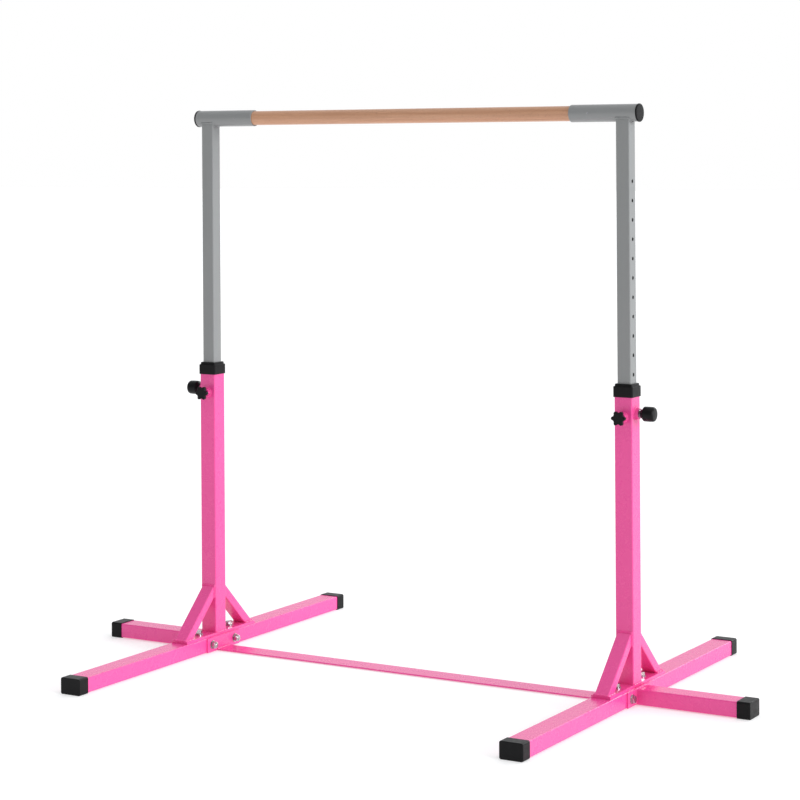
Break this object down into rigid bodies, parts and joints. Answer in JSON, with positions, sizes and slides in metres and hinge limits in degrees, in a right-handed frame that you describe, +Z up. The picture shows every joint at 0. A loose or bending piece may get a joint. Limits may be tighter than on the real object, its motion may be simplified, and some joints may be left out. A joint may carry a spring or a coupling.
{
  "type": "adjustable horizontal training bar",
  "caption": "Free-standing horizontal gymnastics bar: a wooden bar on telescopic posts, raised and lowered in steps by spring pins and clamp knobs on braced floor legs.",
  "frame": {"origin": "on the floor, midway between the two uprights", "axes": "+X along the bar towards the right-hand upright, -Y towards the side with the clamp knobs, +Z up"},
  "size_m": [2.006, 1.308, 1.548],
  "materials": {
    "pink_powder_coat": "gloss powder coat",
    "grey_powder_coat": "satin powder coat",
    "black_plastic": "satin moulded plastic",
    "knob_plastic": "semi-gloss moulded plastic",
    "zinc_steel": "bright zinc plate",
    "beech": "clear-lacquered beech, satin"
  },
  "bodies": {
    "base": {"left_leg": "pink_powder_coat", "left_front_leg_cap": "black_plastic", "left_rear_leg_cap": "black_plastic", "left_upright": "pink_powder_coat", "left_base_plate": "pink_powder_coat", "left_front_brace": "pink_powder_coat", "left_rear_brace": "pink_powder_coat", "left_pin_boss": "pink_powder_coat", "left_clamp_boss": "pink_powder_coat", "left_pin_barrel": "zinc_steel", "left_pin_spring": "zinc_steel", "left_collar": "black_plastic", "left_stabiliser": "pink_powder_coat", "left_stabiliser_plate": "pink_powder_coat", "left_stabiliser_cap": "black_plastic", "left_crossbar_plate": "pink_powder_coat", "left_foot_bolts": "zinc_steel", "left_side_bolts": "zinc_steel", "left_nuts": "zinc_steel", "left_washers": "zinc_steel", "right_leg": "pink_powder_coat", "right_front_leg_cap": "black_plastic", "right_rear_leg_cap": "black_plastic", "right_upright": "pink_powder_coat", "right_base_plate": "pink_powder_coat", "right_front_brace": "pink_powder_coat", "right_rear_brace": "pink_powder_coat", "right_pin_boss": "pink_powder_coat", "right_clamp_boss": "pink_powder_coat", "right_pin_barrel": "zinc_steel", "right_pin_spring": "zinc_steel", "right_collar": "black_plastic", "right_stabiliser": "pink_powder_coat", "right_stabiliser_plate": "pink_powder_coat", "right_stabiliser_cap": "black_plastic", "right_crossbar_plate": "pink_powder_coat", "right_foot_bolts": "zinc_steel", "right_side_bolts": "zinc_steel", "right_nuts": "zinc_steel", "right_washers": "zinc_steel", "crossbar": "pink_powder_coat"},
    "bar_frame": {"left_post": "grey_powder_coat", "left_post_guide": "black_plastic", "left_socket": "grey_powder_coat", "left_socket_cap": "black_plastic", "right_post": "grey_powder_coat", "right_post_guide": "black_plastic", "right_socket": "grey_powder_coat", "right_socket_cap": "black_plastic", "wooden_bar": "beech", "bar_screws": "zinc_steel"},
    "left_lock": {"left_lock_pin": "zinc_steel", "left_pull_knob": "knob_plastic"},
    "left_clamp": {"left_clamp_screw": "zinc_steel"},
    "left_star": {"left_star_knob": "knob_plastic"},
    "right_lock": {"right_lock_pin": "zinc_steel", "right_pull_knob": "knob_plastic"},
    "right_clamp": {"right_clamp_screw": "zinc_steel"},
    "right_star": {"right_star_knob": "knob_plastic"}
  },
  "joints": [
    {"name": "height_slide", "type": "slide", "parent": "base", "child": "bar_frame", "axis": [0, 0, 1], "range_m": [-0.6, 0]},
    {"name": "left_lock_slide", "type": "slide", "parent": "base", "child": "left_lock", "axis": [-1, 0, 0], "range_m": [-0.0045, 0.0025], "stiffness_N_per_m": 1200, "springref_m": -0.01, "deforming": ["left_pin_spring"]},
    {"name": "left_clamp_slide", "type": "slide", "parent": "base", "child": "left_clamp", "axis": [0, 1, 0], "range_m": [-0.0038, 0.00026]},
    {"name": "left_star_turn", "type": "hinge", "parent": "left_clamp", "child": "left_star", "pos_m": [-0.656, -0.053, 0.738], "axis": [0, 1, 0], "range_deg": [-1080, 72]},
    {"name": "right_lock_slide", "type": "slide", "parent": "base", "child": "right_lock", "axis": [1, 0, 0], "range_m": [-0.0045, 0.0025], "stiffness_N_per_m": 1200, "springref_m": -0.01, "deforming": ["right_pin_spring"]},
    {"name": "right_clamp_slide", "type": "slide", "parent": "base", "child": "right_clamp", "axis": [0, 1, 0], "range_m": [-0.0038, 0.00026]},
    {"name": "right_star_turn", "type": "hinge", "parent": "right_clamp", "child": "right_star", "pos_m": [0.656, -0.053, 0.738], "axis": [0, 1, 0], "range_deg": [-1080, 72]}
  ],
  "couplings": [
    {"joint": "left_clamp_slide", "follows": "left_star_turn", "m_per_rad": 0.00019894},
    {"joint": "right_clamp_slide", "follows": "right_star_turn", "m_per_rad": 0.00019894}
  ]
}
